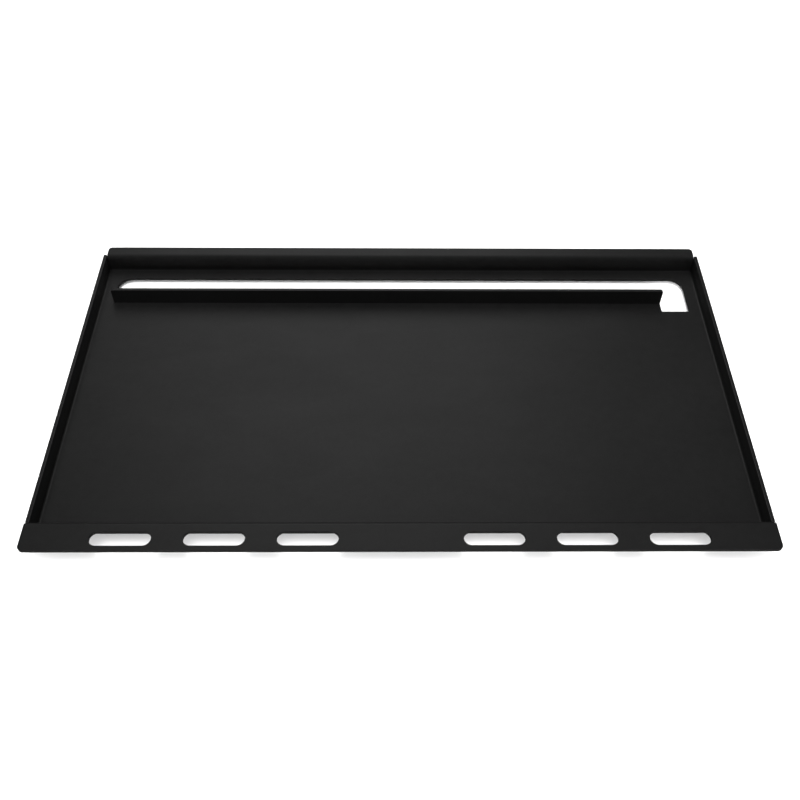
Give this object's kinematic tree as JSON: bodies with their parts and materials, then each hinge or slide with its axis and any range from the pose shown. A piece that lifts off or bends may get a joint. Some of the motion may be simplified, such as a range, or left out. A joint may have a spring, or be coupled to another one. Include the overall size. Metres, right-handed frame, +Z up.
{
  "type": "flat top griddle",
  "caption": "Flat top griddle insert: a wide, shallow black steel pan with a vented front ledge, a rear flange, and a grease dam, slot and drain along the back.",
  "frame": {"origin": "centre of the footprint, on the surface that the griddle stands on", "axes": "+X to the right as seen by the cook, +Y to the back of the grill, +Z up"},
  "size_m": [0.8732, 0.5088, 0.0353],
  "materials": {
    "black_steel": "matt black seasoned carbon steel",
    "weld_metal": "rippled weld bead under the same black seasoning"
  },
  "bodies": {
    "root": {"griddle_plate": "black_steel", "left_side_wall": "black_steel", "right_side_wall": "black_steel", "grease_dam": "black_steel", "left_stiffener": "black_steel", "right_stiffener": "black_steel", "left_floor_weld": "weld_metal", "right_floor_weld": "weld_metal", "left_inner_weld": "weld_metal", "right_inner_weld": "weld_metal", "back_left_corner_weld": "weld_metal", "back_right_corner_weld": "weld_metal", "front_left_corner_weld": "weld_metal", "front_right_corner_weld": "weld_metal", "dam_weld": "weld_metal", "stiffener_stitches": "weld_metal"}
  },
  "joints": []
}
